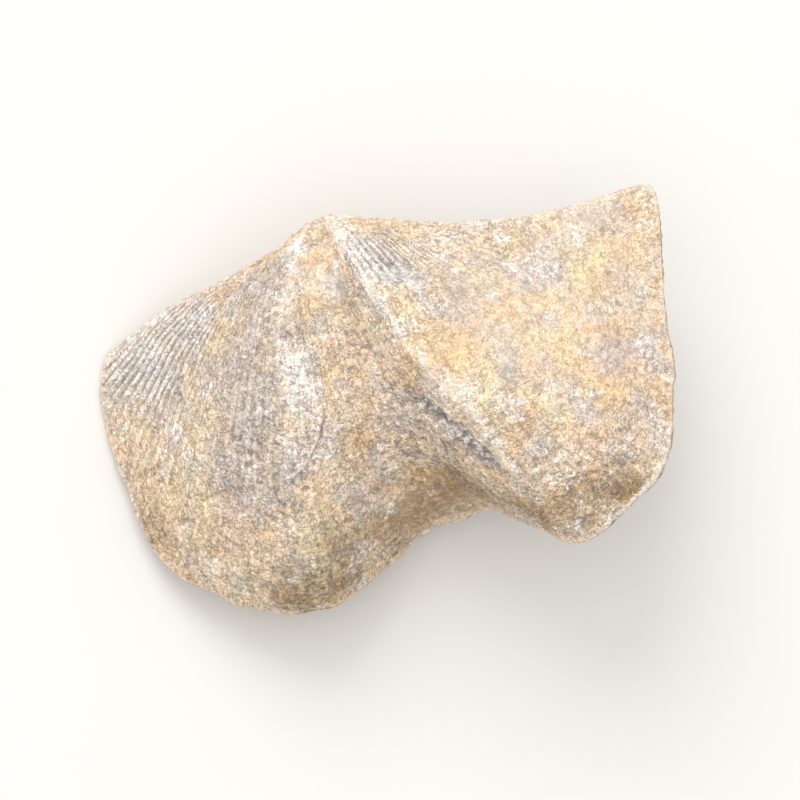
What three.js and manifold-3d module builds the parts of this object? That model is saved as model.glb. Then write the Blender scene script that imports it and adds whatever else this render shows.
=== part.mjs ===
// A fossil spiriferid brachiopod: two valves turned to stone and locked together, so one solid.
// Millimetres, +Z up. The fossil lies on its dorsal valve and leans on its left ear.
import * as THREE from 'three';
import { mergeVertices } from 'three/addons/utils/BufferGeometryUtils.js';
import Module from 'manifold-3d';

// The shell's own frame: X along the hinge, Y to the beak, Z out of the ventral valve, hinge near y = 2.
// Free margin where the valves meet, from the left ear round the front to the right ear.
const MARGIN = [
  [-19.0, 2.4, 0.9], [-20.9, 2.1, 1.3], [-22.3, -1.8, 1.2], [-22.2, -10.3, 0.9], [-19.8, -15.8, 0.7],
  [-15.4, -19.4, 0.5], [-10.4, -21.1, 0.1], [-7.0, -19.8, -2.4], [-2.8, -17.4, -6.0], [2.6, -17.0, -5.8],
  [6.6, -19.6, -2.0], [10.6, -22.2, 0.5], [17.3, -19.2, 0.4], [20.1, -14.1, 0.0], [21.4, -7.0, -0.5],
  [22.9, -0.5, -0.9], [22.8, 1.9, -0.9], [20.7, 2.2, -0.7],
];
const LEFT_RIDGE = 6; // margin point at the foot of the ridge on each side of the sulcus
const RIGHT_RIDGE = 11;
const CURVE_STEPS = 200; // steps in each stretch of the margin when its length is measured

// Each valve grew out of its beak: the margin shrinks to it and turns about it by coil radians.
// youngSulcus is how much of the sulcus depth the young shell still lacked, next to the beak.
const VENTRAL = { side: 1, beak: [0, 6.1, 7.0], coil: 2.4, ribHeight: 0.22, youngSulcus: 0.75 };
const DORSAL = { side: -1, beak: [0, 2.8, -1.6], coil: 1.9, ribHeight: 0.32, youngSulcus: 0 };
const SULCUS_EDGE = 0.05; // share of the margin over which the sulcus rounds into a ridge
const COIL_POWER = 0.4; // below 1: the young shell turned faster
const YOUNGEST = 0.03; // size of the first growth stage, where the full shell is 1
const STAGES = 15; // growth stages modelled on each valve
const STAGE_POWER = 1.3; // above 1: stages lie closer near the beak

// Ribs: rounded, worn low, running from the hinge and the beak to the margin.
const FLANK_RIBS = 30; // on each flank, between the ridge and the ear
const SULCUS_RIBS = 20;
const RIB_SPREAD = 2.2; // ribs beside the ridge are this much wider than those at the ear
const RIB_ENTRY = 0.2; // 0: every rib starts at the beak; 1: they start along the hinge edge, evenly
const SULCUS_RIB_SHARE = 0.5; // height of the ribs in the sulcus beside those on the flanks
const RIB_FULL_SIZE = 0.3; // growth stage from which the ribs have their full height
const RIB_WORN_FROM = 0.92; // growth stage from which the ribs are worn down towards the margin
const RIB_WORN_SHARE = 0.6; // how much of their height is lost at the margin
const RIB_FADE = 0.04; // share of the margin over which they fade in at an ear or a ridge

const BAND = 0.5; // thickness of the margin that the two valves share
const SEAM_DEPTH = 0.2; // groove between the valves, all the way round

// Open triangle under the ventral beak, filled flush with stone but for this depth.
const DELTHYRIUM_DEPTH = 0.8;
const DELTHYRIUM_HALF = 0.075; // half its width, as a share of the hinge line
const DELTHYRIUM_SLOPE = 0.03; // width of its sloping side, the same way
const HINGE_PLACES = [0.1, 0.2, 0.3, 0.395, 0.425, 0.455, 0.5, 0.545, 0.575, 0.605, 0.7, 0.8, 0.9];

// Places where this shell bulges: centre, shift and reach of each, in the shell's own frame.
const BULGES = [
  { at: [-13.0, 2.0, 4.0], shift: [-0.5, 1.5, 0.3], reach: 7.0 },
];

// How it lies: turned onto its left ear, then moved so that the middle of its base is the origin.
const REST_PITCH = THREE.MathUtils.degToRad(-9.3);
const REST_ROLL = THREE.MathUtils.degToRad(-21.4);
const REST_PLACE = [-0.23, 7.1, 6.94];
const CUTTER = { width: 80, depth: 20 }; // block that wears the resting spots flat at z = 0

const STEP = 1e-3; // small step along the surface, for its normal
const SAME_POINT = 1e-4; // corners nearer than this are one
const STONE = { color: 0xc9b795, roughness: 0.92, metalness: 0 };

const marginPoints = MARGIN.map((p) => new THREE.Vector3(...p));
const marginCurve = new THREE.CatmullRomCurve3(marginPoints, false, 'catmullrom', 0.5);
marginCurve.arcLengthDivisions = CURVE_STEPS * (MARGIN.length - 1);
const marginLengths = marginCurve.getLengths();
const shareOf = (point) => marginLengths[point * CURVE_STEPS] / marginLengths.at(-1);
const LEFT_SHARE = shareOf(LEFT_RIDGE);
const RIGHT_SHARE = shareOf(RIGHT_RIDGE);

const clamp = THREE.MathUtils.clamp;

// Point of the full-grown outline: w runs 0 to 1 along the free margin, then 1 to 2 back along the hinge.
function outlinePoint(w) {
  if (w <= 1) return marginCurve.getPointAt(clamp(w, 0, 1));
  return marginPoints.at(-1).clone().lerp(marginPoints[0], w - 1);
}

// The outline at growth stage g before it is shrunk: the younger the shell, the shallower its sulcus.
function stagePoint(valve, w, g) {
  const point = outlinePoint(w);
  if (!inSulcus(w)) return point;
  const level = marginPoints[LEFT_RIDGE].clone();
  level.lerp(marginPoints[RIGHT_RIDGE], (w - LEFT_SHARE) / (RIGHT_SHARE - LEFT_SHARE));
  const fromRidge = THREE.MathUtils.smoothstep(Math.min(w - LEFT_SHARE, RIGHT_SHARE - w), 0, SULCUS_EDGE);
  return point.lerp(level, valve.youngSulcus * (1 - g) * fromRidge);
}

// The outline of a valve at growth stage g, shrunk to the beak and turned about it.
function grownPoint(valve, w, g) {
  const beak = new THREE.Vector3(...valve.beak);
  const arm = stagePoint(valve, w, g).sub(beak);
  arm.z += valve.side * BAND / 2;
  arm.applyAxisAngle(new THREE.Vector3(-1, 0, 0), valve.side * valve.coil * (1 - g ** COIL_POWER));
  return arm.multiplyScalar(g).add(beak);
}

// Share of a flank's ribs that lie between the ridge and a place, 0 at the ridge and 1 at the ear.
function ribShare(place) {
  return 1 - Math.log1p((RIB_SPREAD - 1) * (1 - place)) / Math.log(RIB_SPREAD);
}

function placeOfShare(share) {
  return 1 - (RIB_SPREAD ** (1 - share) - 1) / (RIB_SPREAD - 1);
}

// Number of a rib on its flank at w, counted from the ridge. Young stages have fewer ribs.
function flankRib(w, g) {
  const place = w < LEFT_SHARE ? 1 - w / LEFT_SHARE : (w - RIGHT_SHARE) / (1 - RIGHT_SHARE);
  return FLANK_RIBS * ribShare(place) * g ** RIB_ENTRY;
}

function inSulcus(w) {
  return w >= LEFT_SHARE && w <= RIGHT_SHARE;
}

function ribNumber(w, g) {
  if (!inSulcus(w)) return flankRib(w, g);
  return SULCUS_RIBS * (w - LEFT_SHARE) / (RIGHT_SHARE - LEFT_SHARE);
}

// Height of the ribs above the plain shell: full on the flanks, less in the sulcus, none at the ears.
function ribHeight(valve, w, g) {
  if (w >= 1) return 0;
  const grown = clamp(g / RIB_FULL_SIZE, 0, 1);
  const worn = 1 - RIB_WORN_SHARE * clamp((g - RIB_WORN_FROM) / (1 - RIB_WORN_FROM), 0, 1);
  const fromEar = clamp(Math.min(w, 1 - w) / RIB_FADE, 0, 1);
  const fromRidge = clamp(Math.min(w - LEFT_SHARE, RIGHT_SHARE - w) / RIB_FADE, 0, 1);
  const share = 1 - (1 - SULCUS_RIB_SHARE) * fromRidge;
  return valve.ribHeight / 2 * grown * worn * fromEar * share * Math.cos(2 * Math.PI * ribNumber(w, g));
}

// Depth of the open triangle under the beak, which narrows to it because it grew with the shell.
function hollowDepth(valve, w, g) {
  if (valve !== VENTRAL || w <= 1) return 0;
  const fromMiddle = Math.abs(w - 1.5);
  return DELTHYRIUM_DEPTH * g * clamp((DELTHYRIUM_HALF - fromMiddle) / DELTHYRIUM_SLOPE, 0, 1);
}

// Outward normal of the plain shell, by small steps along the outline and the growth.
function outwardNormal(valve, w, g) {
  const wrap = (v) => (v + 2) % 2;
  const along = grownPoint(valve, wrap(w + STEP), g).sub(grownPoint(valve, wrap(w - STEP), g));
  const growth = grownPoint(valve, w, g + STEP).sub(grownPoint(valve, w, g - STEP));
  return along.cross(growth).multiplyScalar(valve.side).normalize();
}

function bulge(point) {
  const moved = point.clone();
  for (const { at, shift, reach } of BULGES) {
    const near = Math.exp(-point.distanceToSquared(new THREE.Vector3(...at)) / reach ** 2);
    moved.addScaledVector(new THREE.Vector3(...shift), near);
  }
  return moved;
}

function surfacePoint(valve, w, g) {
  const relief = ribHeight(valve, w, g) - hollowDepth(valve, w, g);
  return bulge(grownPoint(valve, w, g).addScaledVector(outwardNormal(valve, w, g), relief));
}

// Places along the outline for one growth stage: the crest and the trough of every rib, then the hinge.
// Ribs that have not started at this stage all lie at the ear, and their empty faces are left out.
function placesAt(g) {
  const steps = FLANK_RIBS * 2;
  const flank = Array.from({ length: steps + 1 }, (_, i) => {
    return placeOfShare(Math.min(1, i / steps / g ** RIB_ENTRY));
  });
  const left = flank.map((place) => LEFT_SHARE * (1 - place)).reverse();
  const right = flank.map((place) => RIGHT_SHARE + (1 - RIGHT_SHARE) * place);
  const sulcusSteps = SULCUS_RIBS * 2;
  const sulcus = Array.from({ length: sulcusSteps - 1 }, (_, i) => {
    return THREE.MathUtils.lerp(LEFT_SHARE, RIGHT_SHARE, (i + 1) / sulcusSteps);
  });
  return [...left, ...sulcus, ...right, ...HINGE_PLACES.map((place) => 1 + place)];
}

function valveRows(valve) {
  return Array.from({ length: STAGES }, (_, i) => {
    const g = YOUNGEST + (1 - YOUNGEST) * (i / (STAGES - 1)) ** STAGE_POWER;
    return placesAt(g).map((w) => surfacePoint(valve, w, g));
  });
}

// The seam: halfway between the two margins, set in towards the middle of the shell.
function seamRow(ventral, dorsal) {
  const middle = ventral.map((point, i) => point.clone().lerp(dorsal[i], 0.5));
  return middle.map((point, i) => {
    const before = middle.at(i - 1);
    const after = middle[(i + 1) % middle.length];
    const inward = new THREE.Vector3(before.y - after.y, after.x - before.x, 0).normalize();
    return point.clone().addScaledVector(inward, SEAM_DEPTH);
  });
}

// A closed surface through rows of points, each row a ring, with a point to close either end.
function closedGeometry(rows) {
  const count = rows[0].length;
  const positions = rows.flat();
  const middleOf = (row) => row.reduce((sum, p) => sum.add(p), new THREE.Vector3()).divideScalar(row.length);
  const first = positions.push(middleOf(rows[0])) - 1;
  const last = positions.push(middleOf(rows.at(-1))) - 1;
  const triangles = [];
  for (let column = 0; column < count; column += 1) {
    const next = (column + 1) % count;
    for (let row = 0; row < rows.length - 1; row += 1) {
      const [a, b] = [row * count + column, row * count + next];
      triangles.push([a, a + count, b + count], [a, b + count, b]);
    }
    const end = (rows.length - 1) * count;
    triangles.push([first, column, next], [last, end + next, end + column]);
  }
  const same = (i, j) => positions[i].distanceTo(positions[j]) < SAME_POINT;
  const whole = triangles.filter(([a, b, c]) => !same(a, b) && !same(b, c) && !same(c, a));
  const geometry = new THREE.BufferGeometry().setFromPoints(positions);
  geometry.setIndex(whole.flat());
  return mergeVertices(geometry, SAME_POINT);
}

function shellGeometry() {
  const ventral = valveRows(VENTRAL);
  const dorsal = valveRows(DORSAL);
  return closedGeometry([...ventral, seamRow(ventral.at(-1), dorsal.at(-1)), ...dorsal.reverse()]);
}

function toSolid(wasm, geometry) {
  const bare = geometry.clone();
  bare.deleteAttribute('normal');
  bare.deleteAttribute('uv');
  const merged = mergeVertices(bare, SAME_POINT);
  const vertProperties = new Float32Array(merged.attributes.position.array);
  const triVerts = new Uint32Array(merged.index.array);
  return new wasm.Manifold(new wasm.Mesh({ numProp: 3, vertProperties, triVerts }));
}

function toGeometry(solid) {
  const mesh = solid.getMesh();
  const geometry = new THREE.BufferGeometry();
  geometry.setAttribute('position', new THREE.BufferAttribute(new Float32Array(mesh.vertProperties), 3));
  geometry.setIndex(new THREE.BufferAttribute(new Uint32Array(mesh.triVerts), 1));
  geometry.computeVertexNormals();
  return geometry;
}

// Everything under z = 0 is worn away, which leaves small flats where the fossil rests.
function wornFlat(wasm, geometry, placed) {
  const block = new THREE.BoxGeometry(CUTTER.width, CUTTER.width, CUTTER.depth);
  block.translate(0, 0, -CUTTER.depth / 2);
  block.applyMatrix4(placed.clone().invert());
  return toGeometry(toSolid(wasm, geometry).subtract(toSolid(wasm, block)));
}

async function buildFossil() {
  const wasm = await Module();
  wasm.setup();
  const fossil = new THREE.Mesh(new THREE.BufferGeometry(), new THREE.MeshStandardMaterial(STONE));
  fossil.name = 'brachiopod_fossil';
  fossil.rotation.set(REST_PITCH, REST_ROLL, 0);
  fossil.position.set(...REST_PLACE);
  fossil.updateMatrix();
  fossil.geometry = wornFlat(wasm, shellGeometry(), fossil.matrix);
  return fossil;
}

const part = new THREE.Group();
part.add(await buildFossil());

export default part;
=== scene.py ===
"""A fossil spiriferid brachiopod: two valves turned to stone, with hardened mud in the gap under the beak."""

import math

import bpy
import numpy as np
from bpy.props import FloatProperty, FloatVectorProperty, IntProperty, PointerProperty
from mathutils import Matrix, Vector, noise
from mathutils.bvhtree import BVHTree


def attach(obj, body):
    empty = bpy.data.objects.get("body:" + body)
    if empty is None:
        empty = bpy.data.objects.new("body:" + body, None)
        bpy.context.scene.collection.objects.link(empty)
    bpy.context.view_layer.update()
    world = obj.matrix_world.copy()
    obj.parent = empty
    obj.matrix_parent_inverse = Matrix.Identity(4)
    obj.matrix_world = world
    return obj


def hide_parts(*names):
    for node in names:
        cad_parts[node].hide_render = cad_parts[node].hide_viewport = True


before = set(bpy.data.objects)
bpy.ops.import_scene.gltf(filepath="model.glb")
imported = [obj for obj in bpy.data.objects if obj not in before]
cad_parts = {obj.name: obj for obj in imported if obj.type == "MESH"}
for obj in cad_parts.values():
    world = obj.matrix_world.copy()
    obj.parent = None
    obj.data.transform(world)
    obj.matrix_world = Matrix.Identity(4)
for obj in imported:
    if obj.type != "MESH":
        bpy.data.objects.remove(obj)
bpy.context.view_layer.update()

bl_info = {
    "name": "Spiriferid fossil",
    "version": (1, 0, 0),
    "blender": (4, 5, 0),
    "location": "3D View > Sidebar > Fossil",
    "description": "Builds a fossil brachiopod shell with worn ribs, stained stone and a plain studio floor",
    "category": "Add Mesh",
}

NODE = "brachiopod_fossil"
MM = 0.001

# The shell's own frame, in mm: X along the hinge, Y to the beak, Z out of the ventral valve.
# Free margin where the valves meet, from the left ear round the front to the right ear.
MARGIN = np.array([
    (-19.0, 2.4, 0.9), (-20.9, 2.1, 1.3), (-22.3, -1.8, 1.2), (-22.2, -10.3, 0.9), (-19.8, -15.8, 0.7),
    (-15.4, -19.4, 0.5), (-10.4, -21.1, 0.1), (-7.0, -19.8, -2.4), (-2.8, -17.4, -6.0), (2.6, -17.0, -5.8),
    (6.6, -19.6, -2.0), (10.6, -22.2, 0.5), (17.3, -19.2, 0.4), (20.1, -14.1, 0.0), (21.4, -7.0, -0.5),
    (22.9, -0.5, -0.9), (22.8, 1.9, -0.9), (20.7, 2.2, -0.7),
])
LEFT_RIDGE_POINT = 6  # margin point at the foot of the ridge on each side of the sulcus
RIGHT_RIDGE_POINT = 11
CURVE_STEPS = 200  # steps in each stretch of the margin when its length is measured
HINGE_MIDDLE = 1.5  # places run 0 to 1 along the free margin, then 1 to 2 back along the hinge line

# Each valve grew out of its beak: the margin shrinks to it and turns about it by coil radians.
# young_sulcus is how much of the sulcus depth the young shell still lacked, next to the beak.
VENTRAL = {"side": 1, "beak": np.array((0.0, 6.1, 7.0)), "coil": 2.4, "young_sulcus": 0.75}
DORSAL = {"side": -1, "beak": np.array((0.0, 2.8, -1.6)), "coil": 1.9, "young_sulcus": 0.0}
SULCUS_EDGE = 0.05  # share of the margin over which the sulcus rounds into a ridge
COIL_POWER = 0.4  # below 1: the young shell turned faster
YOUNGEST = 0.03  # size of the first growth stage, where the full shell is 1
STAGE_POWER = 1.3  # above 1: growth stages lie closer near the beak
BAND = 0.5  # thickness of the margin that the two valves share, in mm
SEAM_STAGE = 1.01  # running stage of the seam between the valves, a little past the ventral margin
LAST_STAGE = 2 * SEAM_STAGE  # running stage of the dorsal beak

# Place where this shell bulges by its left ear: centre, shift and reach.
BULGE_AT = np.array((-13.0, 2.0, 4.0))
BULGE_SHIFT = np.array((-0.5, 1.5, 0.3))
BULGE_REACH = 7.0

# Ribs: rounded, running from the hinge and the beak to the margin, worn down in most places.
RIB_SPREAD = 2.2  # ribs beside the ridge are this much wider than those at the ear
RIB_ENTRY = 0.2  # young stages have fewer ribs
RIB_ROUNDNESS = 0.7  # below 1: broad ribs with narrow grooves
RIB_MARGIN_LOSS = 0.85  # share of their height that they lose at the margin
SULCUS_RIB_LOSS = 0.5  # share of it that they lack in the sulcus
BLUNT_RIB_SHARE = 0.3  # height of blunted ribs beside sharp ones
RIDGE_FADE = 0.04  # share of the margin over which they change between sulcus and flank
EAR_FADE = (0.0, 0.03)  # shares of the margin between which they come up at an ear
WORN_EAR_FADE = (0.02, 0.042)  # the same at the left ear of the ventral valve

# Fine relief, in mm. The heights of growth lines and grains are settings.
GROWTH_LINES = 40.0  # growth lines from the beak to the margin
FRONT_GROWTH = 1.6  # how much stronger they are in front of the sulcus
HINGE_LINES = 44.0  # fine lines along the flat area under the beak
HINGE_LINE_HEIGHT = 0.035
HOLE_DEPTH = 0.12
PIT_DEPTH = 0.15
FINE_GRAIN = 0.55  # width of a fine grain beside a coarse one
GRAIN_DOME = 0.55  # how far from its edge a grain is fully domed, beside its width
FINE_HOLLOW = (4, 0.035)  # rounds of softening, then the depth of a full hollow
WIDE_HOLLOW = (30, 0.16)

# Growth stages between which something comes up on the way from the beak to the margin.
STAGES = {
    "ribs": (0.02, 0.3), "streaks": (0.1, 0.3), "hinge_lines": (0.2, 0.5), "growth_lines": (0.45, 0.95),
    "front_growth": (0.78, 0.92), "thin_margin": (0.88, 0.985), "bare_margin": (0.93, 0.99),
    "worn_ribs": (0.94, 1.0), "chips": (0.955, 0.995),
}

# Lines on the ventral valve. The course is a list of (growth stage, place on the margin), stages are
# where the line starts, is full, fades and ends, and height, reach and shift to the right are in mm.
LEFT_CREST = {
    "course": ((0.12, 0.354), (0.25, 0.354), (0.35, 0.364), (0.45, 0.380), (0.51, 0.394)),
    "stages": (0.08, 0.16, 0.48, 0.54), "height": 0.18, "reach": 0.7, "shift": 0.0,
}
RIGHT_CREST = {
    "course": ((0.10, 0.652), (0.30, 0.645), (0.40, 0.643), (0.50, 0.655), (0.58, 0.664), (0.66, 0.663),
               (0.74, 0.658), (0.88, 0.650)),
    "stages": (0.06, 0.14, 0.74, 0.86), "height": 0.15, "reach": 0.65, "shift": 0.0,
}
BEAK_CHANNEL = {
    "course": ((0.10, 0.550), (0.18, 0.549), (0.26, 0.517), (0.35, 0.505)),
    "stages": (0.06, 0.12, 0.34, 0.48), "height": -0.18, "reach": 1.2, "shift": 0.0,
}
BESIDE_LEFT_CREST = {**LEFT_CREST, "height": -0.10, "reach": 1.0, "shift": 1.5}
RELIEF_LINES = (LEFT_CREST, BESIDE_LEFT_CREST, RIGHT_CREST, BEAK_CHANNEL)
# Where both crests are paler: partly worn by touch, partly painted highlight along them. Here the height is
# how pale.
WORN_AND_LIT_CREST_LINES = (
    {**LEFT_CREST, "stages": (0.34, 0.42, 0.50, 0.56), "height": 0.5},
    {**RIGHT_CREST, "stages": (0.06, 0.12, 0.74, 0.84), "height": 0.45, "reach": 0.7, "shift": 0.1},
)

# The scarp in the sulcus. Its top edge is (growth stage, mm to the right of the right crest). Its fall
# and the broken stone on it lie between mm to the right of that edge, so most of these are below 0.
SCARP_EDGE = ((0.54, -3.6), (0.575, -2.9), (0.655, -1.15), (0.75, -0.5), (0.80, -0.3))
SCARP_FALL = (-4.5, -1.6, -1.1, 0.15)
SCARP_STAGES = (0.54, 0.60, 0.77, 0.84)
SCARP_DEPTH = 0.5
SCARP_FOOT = -3.5
SCARP_FOOT_REACH = 0.5
SCARP_FOOT_STAGES = (0.60, 0.65, 0.78, 0.83)
BANK_REACH = (-3.8, -2.3, -0.4, 0.15)
BANK_STAGES = (0.54, 0.59, 0.75, 0.80)

# The thin layer that has flaked off the front of the left ridge: its edge as (place, growth stage).
FLAKE_EDGE = ((0.338, 0.662), (0.361, 0.638), (0.394, 0.579), (0.414, 0.514))
FLAKE_PLACES = (0.325, 0.345, 0.40, 0.42)
FLAKE_FALL = (-0.12, 0.12, 0.5, 3.5)  # mm in front of the edge: the step down, then the slow rise
FLAKE_DEPTH = 0.24

# The thin lip at the lower right margin and the groove behind it.
LIP_PLACES = (0.655, 0.675, 0.745, 0.765)
LIP_STAGES = (0.984, 0.992)
LIP_HEIGHT = 0.08
LIP_GROOVE = 0.974  # growth stage
LIP_GROOVE_REACH = 0.008
LIP_GROOVE_DEPTH = 0.056

# Open triangle in the flat area under the ventral beak, with hardened mud in it, in mm at full size.
GAP_HALF = 0.075  # half its width, as a share of the hinge line
GAP_SLOPE = 0.03  # width of its sloping side, the same way
GAP_DEPTH = 1.5
MUD_DEPTH = 0.75  # from the shell down to the mud
MUD_BODY = 0.9  # thickness of the mud, and the least of it near the beak
MUD_LEAST = 0.15
MUD_STAGES = (0.14, 0.995)  # growth stages that it reaches from and to
MUD_COLUMNS, MUD_ROWS = 60, 90
MUD_GRAIN = 1.5  # width of a grain beside those on the shell
MUD_GRAIN_HEIGHT = 0.1
MUD_SHRINK = 0.04  # how far its whole surface has drawn back
MUD_HOLLOW = (5, 0.05)

# How it lies: turned onto its left ear, then moved so that the middle of its base is the origin.
REST_TURN = Matrix.Rotation(math.radians(-9.3), 3, "X") @ Matrix.Rotation(math.radians(-21.4), 3, "Y")
REST_PLACE = np.array((-0.23, 7.1, 6.94))

# Random waves as (width of one bump in mm, seed, octaves, height). Swells, lumps and mud are mm high,
# and rib_sway is as high as a share of a rib's width.
WAVES = {
    "ragged": (2.6, 3.0, 3, 0.45), "finely_ragged": (0.9, 5.0, 2, 0.25), "mud": (1.4, 9.0, 3, 0.28),
    "swells": (5.5, 11.0, 1, 0.16), "lumps": (2.0, 17.0, 1, 0.09), "small_lumps": (0.9, 19.0, 2, 0.09),
    "rib_sway": (3.0, 29.0, 1, 0.1), "growth_sway": (4.0, 31.0, 1, 0.8), "hinge_sway": (3.0, 97.0, 1, 2.0),
}
# Random patches are waves cut off below one value and level above another, in the first two numbers
# here: (from, to, width of one bump in mm, seed, octaves, height). Chips are as many mm deep.
PATCHES = {
    "worn": (-0.15, 0.35, 4.5, 23.0, 2, 1.0), "crust": (-0.35, -0.05, 1.7, 43.0, 2, 1.0),
    "holes": (0.42, 0.58, 0.7, 47.0, 1, 1.0), "holed_areas": (0.05, 0.25, 6.0, 53.0, 1, 1.0),
    "pits": (0.1, 0.42, 0.55, 91.0, 2, 1.0), "bank": (-0.2, 0.06, 0.8, 101.0, 2, 1.0),
    "ochre": (0.16, 0.52, 6.5, 61.0, 3, 0.75), "smoke": (0.2, 0.55, 7.5, 67.0, 3, 0.7),
    "chalk_and_highlight": (0.34, 0.6, 2.2, 71.0, 3, 0.35), "soil_and_shade": (0.05, 0.5, 5.0, 73.0, 3, 0.8),
    "rubbed": (-0.25, 0.25, 1.3, 79.0, 2, 1.0), "small_chips": (0.0, 0.5, 1.8, 83.0, 1, 0.06),
    "wide_chips": (0.05, 0.45, 4.2, 89.0, 1, 0.35),
}
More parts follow.
